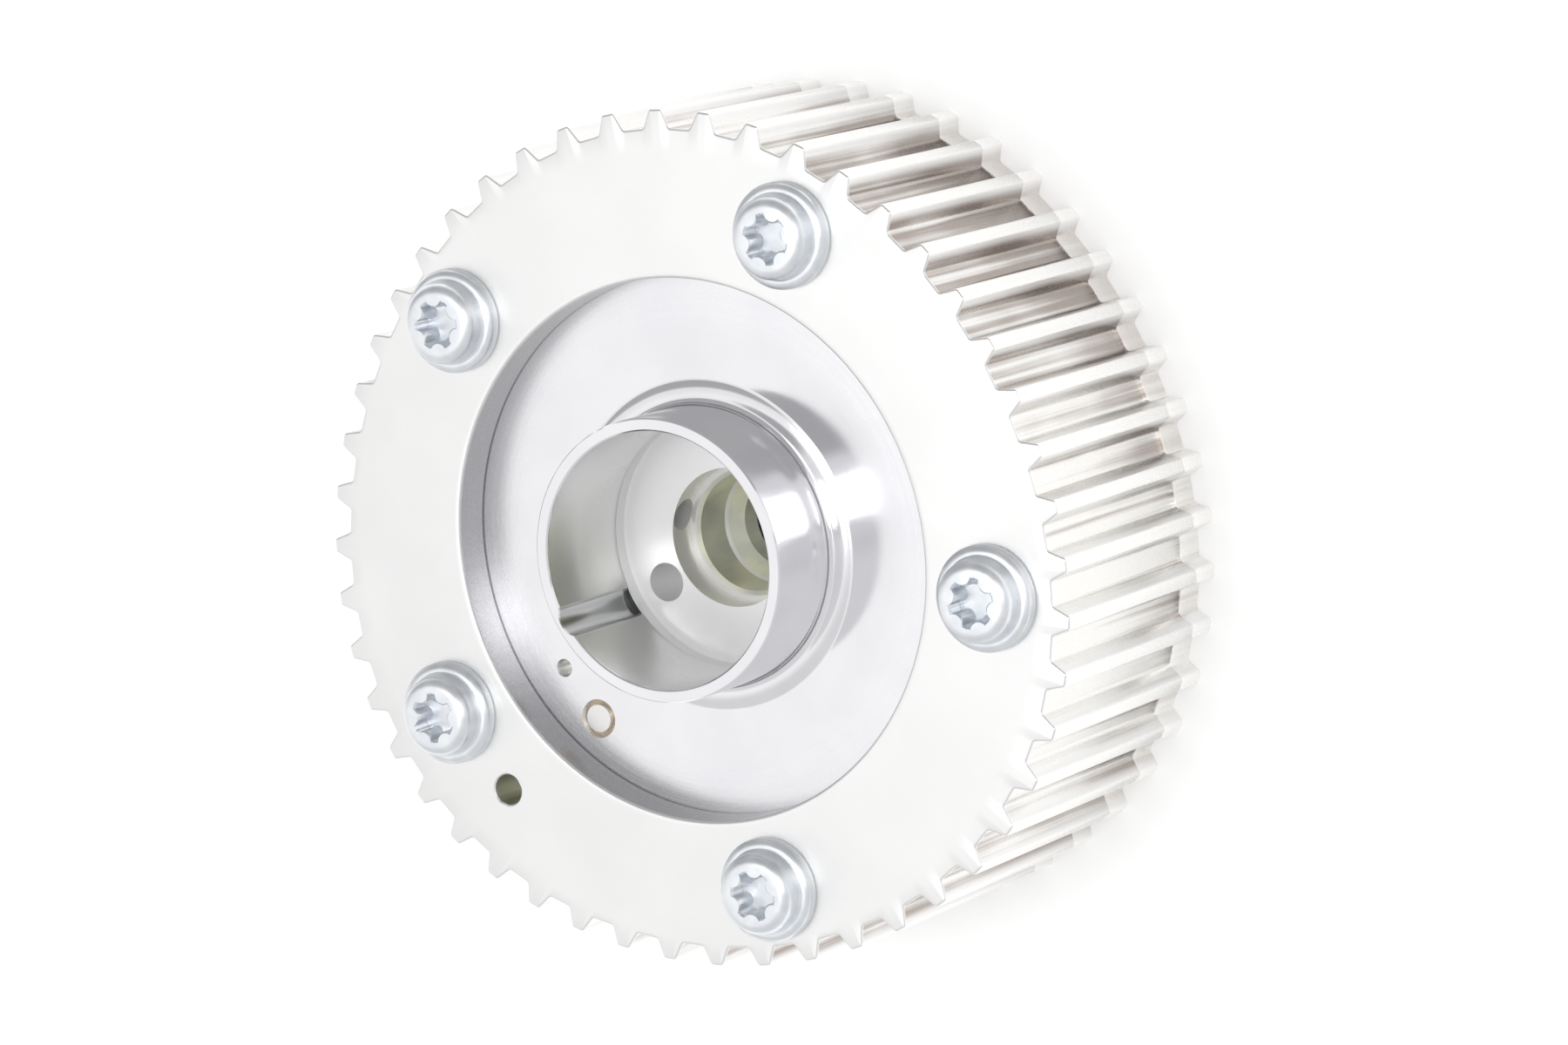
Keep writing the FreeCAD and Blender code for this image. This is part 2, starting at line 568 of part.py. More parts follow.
SEAL_FOOT = ROTOR_END + " + side_gap"
SEAL_LENGTH = "chamber_length - 4 * side_gap"
SEAL_WIDTH = "seal_width - seal_gap - seal_gap"
for k in range(int(size("vane_count"))):
    vane_turn = size("lock_angle") + 360 * k / size("vane_count")
    lobe_turn = vane_turn + size("vane_angle") / 2 + size("stop_gap") + size("lobe_angle") / 2
    outer_face = cylinder("vane_seal_round_%d" % k, "chamber_radius - seal_gap", "chamber_length", CHAMBER_END)
    strip = radial_box("vane_strip_%d" % k, VANE_TIP + " - seal_depth", "chamber_radius + 1", SEAL_WIDTH,
                       SEAL_FOOT, SEAL_LENGTH, VANE_MIDDLE % k)
    common = document.addObject("Part::Common", "vane_seal_solid_%d" % k)
    common.Base = strip
    common.Tool = outer_face
    node(common, "vane_seal_%d" % (k + 1))
    inner = number(VANE_TIP + " - seal_slot")
    outer = number(VANE_TIP + " - seal_depth")
    bow = stock("vane_leaf_%d" % k, leaf(inner, outer, number(SEAL_WIDTH), number(SEAL_FOOT),
                                         size("chamber_length") - 4 * size("side_gap"), size("leaf_thickness")),
                vane_turn)
    node(bow, "vane_seal_spring_%d" % (k + 1))
    inner_face = cylinder("lobe_seal_round_%d" % k, "hub_radius + seal_gap", "chamber_length", CHAMBER_END)
    strip = radial_box("lobe_strip_%d" % k, "hub_radius - 1", "lobe_tip_radius + seal_depth", SEAL_WIDTH,
                       SEAL_FOOT, SEAL_LENGTH, LOBE_MIDDLE % k)
    node(cut("lobe_seal_solid_%d" % k, strip, [inner_face]), "lobe_seal_%d" % (k + 1))
    inner = number("lobe_tip_radius + seal_depth")
    outer = number("lobe_tip_radius + seal_slot")
    bow = stock("lobe_leaf_%d" % k, leaf(inner, outer, number(SEAL_WIDTH), number(SEAL_FOOT),
                                         size("chamber_length") - 4 * size("side_gap"), size("leaf_thickness")),
                lobe_turn)
    node(bow, "lobe_seal_spring_%d" % (k + 1))

# Front cover: register in the housing and a toothed flange that ends the rim
FRONT_STEP = "0 - housing_length"
GROOVE_TOP = FRONT_STEP + " + groove_spare + groove_spare + seal_cord + seal_cord"
flange = stock("flange_blank", toothed_blank(size("groove_depth") - size("front_rise"),
                                             number(FRONT_FACE), size("front_flange")))
register = turned_body("register_body", [
    ("0", FRONT_STEP + " - 1"),
    ("cavity_radius - seat_clearance", FRONT_STEP + " - 1"),
    ("cavity_radius - seat_clearance", FRONT_STEP + " + groove_spare"),
    ("cavity_radius - seal_cord - seal_cord", FRONT_STEP + " + groove_spare"),
    ("cavity_radius - seal_cord - seal_cord", GROOVE_TOP),
    ("cavity_radius - seat_clearance", GROOVE_TOP),
    ("cavity_radius - seat_clearance", CHAMBER_END),
    ("0", CHAMBER_END),
])
CAP_SEAT = FRONT_FACE + " + cap_thickness"
taps = [cylinder("tap_%d" % k, "shank_radius + thread_clearance", "tap_depth + 1", CHAMBER_END + " - tap_depth",
                 spot) for k, spot in enumerate(SCREW_SPOTS)]
node(cut("front_solid", fuse("front_blank", [flange, register]), taps + [
    cylinder("cap_counterbore", "cap_radius + cap_clearance", "cap_thickness + 1", FRONT_FACE + " - 1"),
    cylinder("cap_thread", "cap_thread_radius + cap_clearance", "front_flange + register_length",
             CAP_SEAT + " - 1"),
    cylinder("cap_ring_groove", "cap_radius - groove_spare", "seal_cord + seal_cord", CAP_SEAT),
]), "front_cover")

ring = document.addObject("Part::Torus", "front_ring")
bind(ring, Radius1="cavity_radius - seal_cord", Radius2="seal_cord - seal_gap",
     Placement__Base__z=FRONT_STEP + " + groove_spare + groove_spare + seal_cord")
node(ring, "front_seal_ring")

cap = turned_body("cap_body", [
    ("0", FRONT_FACE),
    ("cap_radius", FRONT_FACE),
    ("cap_radius", CAP_SEAT),
    ("cap_thread_radius", CAP_SEAT),
    ("cap_thread_radius", CAP_SEAT + " + cap_thread_length"),
    ("0", CAP_SEAT + " + cap_thread_length"),
])
socket = document.addObject("Part::Prism", "cap_socket")
bind(socket, Circumradius="cap_socket_width / sqrt(3)", Height="cap_socket_depth + 1",
     Placement__Base__z=FRONT_FACE + " - 1")
socket.Polygon = 6
node(cut("cap_solid", cap, [socket]), "centre_plug")

ring = document.addObject("Part::Torus", "cap_ring")
bind(ring, Radius1="cap_thread_radius + cap_clearance + seal_cord", Radius2="seal_cord - seal_gap",
     Placement__Base__z=CAP_SEAT + " + seal_cord")
node(ring, "plug_seal_ring")

# Cover screws: flanged heads with a six-lobe drive
screw = turned_body("screw_body", [
    ("0", "0 - shank_length"),
    ("shank_radius - hole_clearance", "0 - shank_length"),
    ("shank_radius", "0 - shank_length + hole_clearance"),
    ("shank_radius", "0"),
    ("flange_radius", "0"),
    ("flange_radius", "flange_thickness - collar_bevel"),
    ("flange_radius - collar_bevel", "flange_thickness"),
    ("dome_radius", "flange_thickness"),
    ("dome_radius - dome_draft", "head_height - dome_drop"),
    ("dome_radius - dome_shoulder", "head_height - dome_slope"),
    ("dome_radius - dome_edge", "head_height"),
    ("0", "head_height"),
])


def six_lobe():
    """Prism of the six-lobe drive: tips and hollows are arcs that run into each other."""
    tip_centre = size("drive_radius") - size("drive_tip")
    turn = math.pi / 6
    # distance between the centres equals the sum of the two radii; solved for the hollow's radius
    inner, tip = size("drive_inner"), size("drive_tip")
    top = tip_centre ** 2 + inner ** 2 - 2 * tip_centre * inner * math.cos(turn) - tip ** 2
    hollow = top / (2 * (tip + tip_centre * math.cos(turn) - inner))
    floor = size("head_height") - size("drive_depth")

    def place(radius, angle):
        return Vector(radius * math.cos(angle), radius * math.sin(angle), floor)

    edges = []
    for k in range(6):
        here, middle, after = 2 * k * turn, (2 * k + 1) * turn, (2 * k + 2) * turn
        tip_here, tip_after = place(tip_centre, here), place(tip_centre, after)
        well, before = place(inner + hollow, middle), place(inner + hollow, middle - 2 * turn)
        share = tip / (tip + hollow)
        start = tip_here + (before - tip_here) * share
        join = tip_here + (well - tip_here) * share
        leave = tip_after + (well - tip_after) * share
        edges.append(Part.Arc(start, place(size("drive_radius"), here), join).toShape())
        edges.append(Part.Arc(join, place(inner, middle), leave).toShape())
    return Part.Face(Part.Wire(edges)).extrude(Vector(0, 0, size("drive_depth") + 1))


driven = cut("screw_solid", screw, [stock("drive", six_lobe())])
document.recompute()
group = stock("screw_group", Part.makeCompound([]))
copies = []
for k in range(int(size("vane_count"))):
    turned = 2 * math.pi * k / size("vane_count")
    copy = driven.Shape.copy()
    copy.rotate(Vector(0, 0, 0), Vector(0, 0, 1), size("drive_turn") * k)
    copy.translate(Vector(size("screw_circle") * math.cos(turned), size("screw_circle") * math.sin(turned), 0))
    copies.append(copy)
group.Shape = Part.makeCompound(copies)
node(group, "cover_screws")

# Check and write
document.recompute()
for item in document.Objects:
    if "Invalid" in item.State or "Error" in item.State:
        raise RuntimeError("%s did not build: %s" % (item.Label, item.State))
os.makedirs("parts", exist_ok=True)
for item in NODES:
    if item.Shape.isNull() or not item.Shape.isValid():
        raise RuntimeError("%s is not a valid shape" % item.Label)
    item.Shape.exportStep("parts/%s.step" % item.Label)
    print("%s: %d solid(s), %.1f mm3" % (item.Label, len(item.Shape.Solids), item.Shape.Volume))
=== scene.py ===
import json
import math
import bmesh
import bpy
import numpy as np
from mathutils import Matrix, Vector


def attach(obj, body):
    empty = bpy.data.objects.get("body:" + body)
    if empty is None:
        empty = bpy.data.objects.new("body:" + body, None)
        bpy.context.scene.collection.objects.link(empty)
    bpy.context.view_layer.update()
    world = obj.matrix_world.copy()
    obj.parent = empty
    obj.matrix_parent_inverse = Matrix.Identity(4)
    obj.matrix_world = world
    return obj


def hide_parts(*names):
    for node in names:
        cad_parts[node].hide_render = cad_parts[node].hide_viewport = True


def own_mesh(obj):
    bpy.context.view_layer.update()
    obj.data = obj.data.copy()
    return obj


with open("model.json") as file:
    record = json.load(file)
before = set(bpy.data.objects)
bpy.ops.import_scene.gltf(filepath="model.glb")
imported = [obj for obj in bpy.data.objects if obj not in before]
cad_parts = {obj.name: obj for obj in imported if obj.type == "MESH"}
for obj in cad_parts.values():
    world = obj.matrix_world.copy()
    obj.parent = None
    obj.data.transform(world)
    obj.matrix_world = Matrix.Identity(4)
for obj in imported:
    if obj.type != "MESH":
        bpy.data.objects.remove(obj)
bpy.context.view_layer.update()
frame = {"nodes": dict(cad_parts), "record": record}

# The toothed housing: one sintered steel casting with the web, the recess edge and the belt teeth.
# The teeth are sized after sintering, so their lands are burnished; their grooves carry streaks of grime,
# painted shade that deepens towards the far end, and painted light and shade round the rim that is lightest
# just past each lobe.
MM = 0.001
TEETH = 48
TIP_RADIUS, LOBE_RISE, TOOTH_PHASE = 60.43, 1.36, 0.5
GROOVE_DEPTH, GROOVE_FLOOR, GROOVE_SLOPE = 2.6, 3.4, math.radians(27)
TIP_ROUNDING, ROOT_ROUNDING, CORNER_STEPS = 0.5, 0.6, 7
EDGE = 0.32
WEB, RECESS, CAVITY, COVER_RADIUS, COVER_THICKNESS = 6.0, 38.4, 54.0, 44.0, 3.5
HOUSING_LENGTH, RIM_LENGTH = 36.5, 42.0
SETTING_HOLE, SETTING_DEPTH, SETTING_CHAMFER = (48.7, math.radians(16.6), 2.25), 9.0, 0.2
WINDOW_REACH, WINDOW_ROWS = 3.4, (3, 15)
SEAM, LIP = 0.12, 0.45


def tip_curve(angle):
    """Points, outward normals and tangents of the curve whose radius is R + a cos(3 angle)."""
    radius = TIP_RADIUS + LOBE_RISE * np.cos(3 * angle)
    slope = -3 * LOBE_RISE * np.sin(3 * angle)
    out = np.stack([np.cos(angle), np.sin(angle)], -1)
    along = np.stack([-np.sin(angle), np.cos(angle)], -1)
    tangent = out * slope[:, None] + along * radius[:, None]
    tangent /= np.linalg.norm(tangent, axis=1)[:, None]
    return out * radius[:, None], np.stack([tangent[:, 1], -tangent[:, 0]], -1), tangent


def tooth_outline(depth):
    """Closed outline of the teeth: equal lengths of the tip curve part the grooves, each groove is a
    trapezoid with sloping flanks, and every corner is an arc that touches both of its sides."""
    turn = np.linspace(0, 2 * np.pi, 7201)
    points = tip_curve(turn)[0]
    length = np.concatenate([[0], np.cumsum(np.linalg.norm(np.diff(points, axis=0), axis=1))])
    goal = np.sort((np.arange(TEETH) + TOOTH_PHASE) % TEETH) * length[-1] / TEETH
    middle, normal, tangent = tip_curve(np.interp(goal, length, turn))
    high = GROOVE_FLOOR / 2 + GROOVE_DEPTH * math.tan(GROOVE_SLOPE)
    low = high - depth * math.tan(GROOVE_SLOPE)
    across = np.array([-high, -low, low, high])
    inward = np.array([0, depth, depth, 0])
    corner = (middle[:, None] + tangent[:, None] * across[:, None] - normal[:, None] * inward[:, None])
    corner = corner.reshape(-1, 2)
    radius = np.tile([TIP_ROUNDING, ROOT_ROUNDING, ROOT_ROUNDING, TIP_ROUNDING], TEETH)[:, None]
    back = np.roll(corner, 1, 0) - corner
    ahead = np.roll(corner, -1, 0) - corner
    back /= np.linalg.norm(back, axis=1)[:, None]
    ahead /= np.linalg.norm(ahead, axis=1)[:, None]
    half = np.arccos(np.sum(back * ahead, 1))[:, None] / 2
    bisector = back + ahead
    bisector /= np.linalg.norm(bisector, axis=1)[:, None]
    centre = corner + bisector * radius / np.sin(half)
    start = corner + back * radius / np.tan(half) - centre
    end = corner + ahead * radius / np.tan(half) - centre
    sweep = np.pi - 2 * half
    share = np.linspace(0, 1, CORNER_STEPS)[None, :, None]
    from_start = start[:, None] * np.sin((1 - share) * sweep[:, None])
    from_end = end[:, None] * np.sin(share * sweep[:, None])
    arc = (from_start + from_end) / np.sin(sweep)[:, None] + centre[:, None]
    return arc.reshape(-1, 2)


def inset(outline, distance):
    """The closed outline moved inwards along its normals: the chord of a point's neighbours, turned."""
    chord = np.roll(outline, -1, 0) - np.roll(outline, 1, 0)
    chord /= np.linalg.norm(chord, axis=1)[:, None]
    return outline - np.stack([chord[:, 1], -chord[:, 0]], -1) * distance


def at(outline, z):
    """A flat outline, in millimetres, raised to one height."""
    return np.column_stack([outline, np.full(len(outline), float(z))])


def rounded(outline, z, radius, up, steps=5):
    """Loops of a rounded edge: a quarter circle from the wall to the face, up or down."""
    turn = np.linspace(0, math.pi / 2, steps)
    loops = [at(inset(outline, radius * (1 - math.cos(a))), z - up * radius * (1 - math.sin(a)))
             for a in turn]
    return loops if up > 0 else loops[::-1]


def hoop(radius, turn, z):
    """A loop about the part's axis at given angles; its radius may change with the angle."""
    radius = np.broadcast_to(radius, turn.shape)
    return np.column_stack([radius * np.cos(turn), radius * np.sin(turn), np.full(len(turn), float(z))])


def window_loop(rows, row_span, column_span):
    """The closed border of a window in a grid of loops, whose faces inside it are left out."""
    first, last = row_span
    start, stop = column_span
    bottom = [rows[first][j] for j in range(start, stop + 1)]
    right = [rows[i][stop] for i in range(first + 1, last)]
    top = [rows[last][j] for j in range(stop, start - 1, -1)]
    left = [rows[i][start] for i in range(last - 1, first, -1)]
    return np.array(bottom + right + top + left)


class Solid:
    """Collects grids and turns them into one closed mesh, in metres."""

    def __init__(self):
        self.points, self.faces, self.count = [], [], 0

    def grid(self, loops, windows=()):
        """Quads between neighbouring closed loops; windows are index ranges that stay open."""
        loops = np.array(loops, float)
        rows, columns = loops.shape[:2]
        index = np.arange(rows * columns).reshape(rows, columns) + self.count
        i, j = np.meshgrid(np.arange(rows - 1), np.arange(columns), indexing="ij")
        keep = np.ones(i.shape, bool)
        for first, last, start, stop in windows:
            keep[first:last, start:stop] = False
        i, j = i[keep], j[keep]
        after = (j + 1) % columns
        corners = [index[i, j], index[i, after], index[i + 1, after], index[i + 1, j]]
        self.faces.append(np.stack(corners, -1))
        self.points.append(loops.reshape(-1, 3))
        self.count += rows * columns

    def close(self, loop):
        """A fan from a loop to its middle point."""
        loop = np.array(loop, float)
        self.grid([loop, np.repeat(loop.mean(0)[None], len(loop), 0)])

    def finish(self, name, sharp=35):
        """The object: doubles merged, normals outwards, edges sharper than an angle kept hard."""
        data = bpy.data.meshes.new(name)
        faces = np.concatenate(self.faces)
        data.from_pydata((np.concatenate(self.points) * MM).tolist(), [], faces.tolist())
        work = bmesh.new()
        work.from_mesh(data)
        bmesh.ops.remove_doubles(work, verts=work.verts, dist=2e-6)
        bmesh.ops.dissolve_degenerate(work, edges=work.edges, dist=1e-7)
        bmesh.ops.recalc_face_normals(work, faces=work.faces)
        for face in work.faces:
            face.smooth = True
        limit = math.radians(sharp)
        for edge in work.edges:
            edge.smooth = len(edge.link_faces) == 2 and edge.calc_face_angle(0) < limit
        work.to_mesh(data)
        work.free()
        made = bpy.data.objects.new(name, data)
        bpy.context.scene.collection.objects.link(made)
        return made


def drilled(solid, border, centre, across, radius, depth, chamfer):
    """An upright round hole in a window: its border runs to a chamfer, a wall and a flat bottom. The
    circle's points lie in the directions of the border's points as seen from the hole's middle."""
    centre, axis, across = (np.array(v, float) for v in (centre, (0, 0, 1), across))
    other = np.cross(axis, across)
    turn = np.arctan2((border - centre) @ other, (border - centre) @ across)
    ray = np.cos(turn)[:, None] * across + np.sin(turn)[:, None] * other
    rim = centre + ray * (radius + chamfer)
    lip = centre + ray * radius - axis * chamfer
    foot = centre + ray * radius - axis * depth
    solid.grid([border, rim, lip, foot])
    solid.close(foot)


outline = tooth_outline(GROOVE_DEPTH)
angles = np.arctan2(outline[:, 1], outline[:, 0])
housing = Solid()
wall = rounded(outline, -HOUSING_LENGTH, SEAM, -1, 3) + rounded(outline, 0, EDGE, 1)
face_radii = np.concatenate([[56.0, 54.0], np.linspace(52.0, 45.4, 13), [42.0, RECESS + 0.9]])
face = [wall[-1]] + [hoop(r, angles, 0) for r in face_radii]
pitch_radius, hole_angle, hole_radius = SETTING_HOLE
near = np.abs(np.angle(np.exp(1j * (angles - hole_angle)))) < WINDOW_REACH / pitch_radius
first_column = int(np.argmax(near))
last_column = first_column + int(near.sum()) - 1
housing.grid(wall)
housing.grid(face, windows=[(*WINDOW_ROWS, first_column, last_column)])
border = window_loop(face, WINDOW_ROWS, (first_column, last_column))
out = np.array([math.cos(hole_angle), math.sin(hole_angle), 0])
drilled(housing, border, out * pitch_radius, out, hole_radius, SETTING_DEPTH, SETTING_CHAMFER)
lip = [hoop(RECESS + LIP * (1 - math.sin(a)), angles, -LIP * (1 - math.cos(a)))
       for a in np.linspace(0, math.pi / 2, 6)]
inside = [(RECESS, -WEB), (COVER_RADIUS + 0.05, -WEB), (COVER_RADIUS + 0.05, -WEB - COVER_THICKNESS),
          (CAVITY, -WEB - COVER_THICKNESS), (CAVITY, -HOUSING_LENGTH)]
housing.grid([face[-1]] + lip + [hoop(r, angles, z) for r, z in inside] + [wall[0]])
toothed_housing = housing.finish("toothed_housing_piece")
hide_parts("toothed_housing")
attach(toothed_housing, "pulley_body")


class Value:
    """A shader socket that can be written in sums; each operator adds one Math node."""

    def __init__(self, finish, socket):
        self.finish, self.socket = finish, socket

    def maths(self, operation, *others):
        return self.finish.node("ShaderNodeMath", {"operation": operation}, [self, *others])

    def __add__(self, other):
        return self.maths("ADD", other)

    def __sub__(self, other):
        return self.maths("SUBTRACT", other)

    def __mul__(self, other):
        return self.maths("MULTIPLY", other)

    def __rsub__(self, other):
        return self.finish.node("ShaderNodeMath", {"operation": "SUBTRACT"}, [other, self])

    __radd__ = __add__
    __rmul__ = __mul__

    def step(self, low, high):
        """0 below low, 1 above high, and a smooth rise between them."""
        smooth = {"interpolation_type": "SMOOTHSTEP"}
        return self.finish.node("ShaderNodeMapRange", smooth, [self, low, high])


class Nodes:
    """Short calls for the nodes of one tree."""

    def __init__(self, tree):
        self.tree = tree

    def node(self, kind, settings=None, inputs=(), output=0):
        """Adds a node, sets it up, and fills its sockets with values or links."""
        made = self.tree.nodes.new(kind)
        for name, value in (settings or {}).items():
            setattr(made, name, value)
        pairs = inputs.items() if isinstance(inputs, dict) else enumerate(inputs)
        for key, value in pairs:
            if isinstance(value, Value):
                self.tree.links.new(value.socket, made.inputs[key])
            else:
                made.inputs[key].default_value = value
        return Value(self, made.outputs[output])


class Finish(Nodes):
    """A material with one Principled shader."""

    def __init__(self, name, **sockets):
        self.material = bpy.data.materials.new(name)
        self.material.use_nodes = True
        super().__init__(self.material.node_tree)
        self.shader = self.tree.nodes["Principled BSDF"]
        for socket, value in sockets.items():
            self.shader.inputs[socket.replace("_", " ")].default_value = value

    def place(self):
        """The point on the surface in millimetres: x, y, z, radius and angle about the axis."""
        here = self.node("ShaderNodeTexCoord", output=3)
        spread = self.tree.nodes.new("ShaderNodeSeparateXYZ")
        self.tree.links.new(here.socket, spread.inputs[0])
        x, y, z = (Value(self, spread.outputs[i]) * 1000 for i in range(3))
        radius = (x * x + y * y).maths("SQRT")
        return here, x, y, z, radius, y.maths("ARCTAN2", x)

    def noise(self, where, scale, detail=2, stretch=(1, 1, 1)):
        """Cloudy noise from 0 to 1; scale counts its cells in a metre, stretch squeezes them."""
        turned = self.node("ShaderNodeMapping", {}, {0: where, 3: stretch})
        return self.node("ShaderNodeTexNoise", {}, {"Vector": turned, "Scale": scale, "Detail": detail})

    def blend(self, share, first, second):
        """A colour between two colours."""
        return self.node("ShaderNodeMix", {"data_type": "RGBA"}, {0: share, 6: first, 7: second}, output=2)

    def rings(self, where):
        """Noise along one value, from 0 to 1: even rings where the value is a radius."""
        inputs = {"W": where, "Scale": 1.0, "Detail": 2.0}
        return self.node("ShaderNodeTexNoise", {"noise_dimensions": "1D"}, inputs)

    def feed(self, socket, value):
        """Links a value or colour to one of the shader's sockets."""
        self.tree.links.new(value.socket, self.shader.inputs[socket])

    def bump(self, height, distance, strength=1.0):
        """Bends the light by a height in millimetres."""
        inputs = {"Strength": strength, "Distance": distance * MM, "Height": height}
        self.feed("Normal", self.node("ShaderNodeBump", {}, inputs))


def within(x, y, hole, low, high):
    """1 within a distance of an upright hole's axis, 0 beyond it."""
    dx, dy = x - hole[0] * math.cos(hole[1]), y - hole[0] * math.sin(hole[1])
    return 1 - (dx * dx + dy * dy).maths("SQRT").step(low, high)


def paint(piece, finish):
    """Gives the whole piece one material."""
    piece.data.materials.clear()
    piece.data.materials.append(finish.material)


# The darkest groove colour stands both for grime and for painted shade.
LAND, PALE, DULL_AND_SHADED = (0.95, 0.94, 0.92, 1), (0.90, 0.89, 0.87, 1), (0.40, 0.345, 0.315, 1)
FACE, FACE_CLOUD = (0.91, 0.91, 0.905, 1), 0.965
# The wall tint is painted shade on the recess wall, and the foot tint is a painted shadow line along the
# wall's foot.
WALL_SHADE, FOOT_SHADOW, OILY_TINT = (0.57, 0.57, 0.58, 1), (0.10, 0.10, 0.12, 1), (0.80, 0.80, 0.71, 1)


def sintered(name, dull_and_shaded):
    """Sintered steel: fine grains all over, bright lands on the tip curve, and grooves with dark streaks
    and patches of grime, painted shade that deepens towards the far end, and painted light and shade round
    the rim that is lightest just past each lobe."""
    made = Finish(name, Metallic=1.0)
    here, x, y, z, radius, angle = made.place()
    depth = (TIP_RADIUS + LOBE_RISE * (angle * 3).maths("COSINE")) - radius
    streaks = made.noise(here, 800, 3, (1, 1, 0.012))
    patches = made.noise(here, 110, 2, (1, 1, 0.5))
    clouds = made.noise(here, 60, 3)
    grains = made.noise(here, 5200, 2)
    on_land = 1 - depth.step(0.1, 0.5)
    on_teeth = 1 - depth.step(3.2, 3.6)
    low = depth.step(0.3, 1.6) * on_teeth * (1 - z.step(-0.6, -0.1))
    cloudy = tuple(part * FACE_CLOUD for part in FACE[:3]) + (1,)
    colour = made.blend(clouds.step(0.3, 0.7), FACE, cloudy)
    # Painted light and shade round the rim: the grooves are lighter just past each lobe and darker between
    # the lobes.
    light_and_shade_by_lobe = (angle * 3 - 1.05).maths("COSINE")
    # Painted shade: the grooves darken towards the far end.
    far_end_shade = 1 - z.step(-38, -8)
    # The groove colour mixes random grime streaks and patches with these painted marks.
    grime_and_shade = (streaks * 1.3 + patches * 0.5 + far_end_shade * 0.26 - light_and_shade_by_lobe * 0.24).step(0.78, 1.30)
    colour = made.blend(low, colour, made.blend(grime_and_shade, PALE, dull_and_shaded))
    colour = made.blend(on_land * streaks.step(0.2, 0.6), colour, LAND)
    in_hole = within(x, y, SETTING_HOLE, SETTING_HOLE[2] + 0.1, SETTING_HOLE[2] + 0.2)
    # Painted shade: the recess wall is coloured darker grey than the web face, and a near-black painted
    # shadow line runs along its foot where it meets the rear cover.
    recess_wall = (1 - radius.step(RECESS + 0.1, RECESS + 0.3)) * (1 - z.step(-0.5, -0.3))
    foot = recess_wall * (1 - z.step(-WEB + 0.15, -WEB + 0.35))
    colour = made.blend(recess_wall, colour, WALL_SHADE)
    colour = made.blend(foot * 0.8, colour, FOOT_SHADOW)
    colour = made.blend(in_hole * (1 - z.step(-1.2, -0.3)), colour, OILY_TINT)
    made.feed("Base Color", colour)
    made.feed("Roughness", 0.36 + grains * 0.12 - on_land * 0.14 - low * 0.16 - recess_wall * 0.14)
    made.bump(grains * 0.5 * (1 - low) + streaks * low * 5.0, 0.02, 0.7)
    return made


paint(toothed_housing, sintered("sintered_steel_housing", DULL_AND_SHADED))

# The front cover: a sintered steel lid whose toothed flange ends the rim. Its register sits in the
# housing, its grooves are a little shallower, and a threaded plug closes its middle.
FRONT_RISE, SINK = 0.25, 0.3
CAP_RADIUS, CAP_DEPTH, CAP_BORE, CHAMBER_END = 19.1, 2.0, 17.0, -34.0
# The cover's darkest groove colour stands both for grime and for painted shade.
COVER_DULL_AND_SHADED = (0.74, 0.71, 0.68, 1)
lid_outline = tooth_outline(GROOVE_DEPTH - FRONT_RISE)
lid_angles = np.arctan2(lid_outline[:, 1], lid_outline[:, 0])
lid = Solid()
lid_wall = rounded(lid_outline, -RIM_LENGTH, EDGE, -1) + rounded(lid_outline, -HOUSING_LENGTH, SEAM, 1, 3)
register = [(CAVITY - 0.05, -HOUSING_LENGTH), (CAVITY - 0.05, CHAMBER_END), (CAP_BORE, CHAMBER_END),
            (CAP_BORE, CAP_DEPTH - RIM_LENGTH), (CAP_RADIUS, CAP_DEPTH - RIM_LENGTH),
            (CAP_RADIUS, SINK - RIM_LENGTH), (CAP_RADIUS + SINK, -RIM_LENGTH), (40.0, -RIM_LENGTH),
            (54.0, -RIM_LENGTH)]
lid.grid(lid_wall + [hoop(r, lid_angles, z) for r, z in register] + [lid_wall[0]])
front_cover = lid.finish("front_cover_piece")
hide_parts("front_cover")
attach(front_cover, "pulley_body")
paint(front_cover, sintered("sintered_steel_cover", COVER_DULL_AND_SHADED))

# The rear cover: one piece turned from steel bar, a disc under the housing's web and the collar that
# runs in the shaft seal. It is polished, and the collar's foot rises softly from the disc. It has a
# keyway inside the collar, a vent and the dowel's hole.
COLLAR, COLLAR_BORE, COLLAR_TOP, BEVEL = 20.0, 18.2, 7.7, 0.2
SHOULDER, SHOULDER_RISE, SHOULDER_TOP = 23.4, 0.45, 21.0
KEY_RADIUS, KEY_CENTRE = 2.9, 16.35
VENT, VENT_DEPTH, VENT_CHAMFER = (32.1, math.radians(5.2), 1.2), 3.4, 0.12
DOWEL, DOWEL_DEPTH, DOWEL_CHAMFER = (33.1, math.radians(20.8), 2.0), 0.85, 0.8
COLUMNS, WALL_LEFT = 720, 0.12


def crowded(count, middle, half_width, share):
    """Angles round the circle with a share of them packed into one stretch."""
    inner = int(count * share)
    tight = np.linspace(middle - half_width, middle + half_width, inner, endpoint=False)
    wide = np.linspace(middle + half_width, middle - half_width + 2 * np.pi, count - inner, endpoint=False)
    return np.concatenate([tight, wide])


def keyed(radius, turn):
    """Radius of the bore: the circle, or the keyway's own circle where that reaches further out."""
    square = KEY_RADIUS ** 2 - (KEY_CENTRE * np.sin(turn)) ** 2
    key = KEY_CENTRE * np.cos(turn) + np.sqrt(np.maximum(square, 0))
    return np.where((square > 0) & (np.cos(turn) > 0), np.maximum(radius, key), radius)


turn = crowded(COLUMNS, math.radians(12), math.radians(32), 0.5)
disc = Solid()
floor_radii = np.concatenate([[SHOULDER + 0.25, 25.0, 28.0], np.linspace(29.6, 36.4, 23),
                              [RECESS, COVER_RADIUS]])
floor_rows = [hoop(r, turn, -WEB) for r in floor_radii]


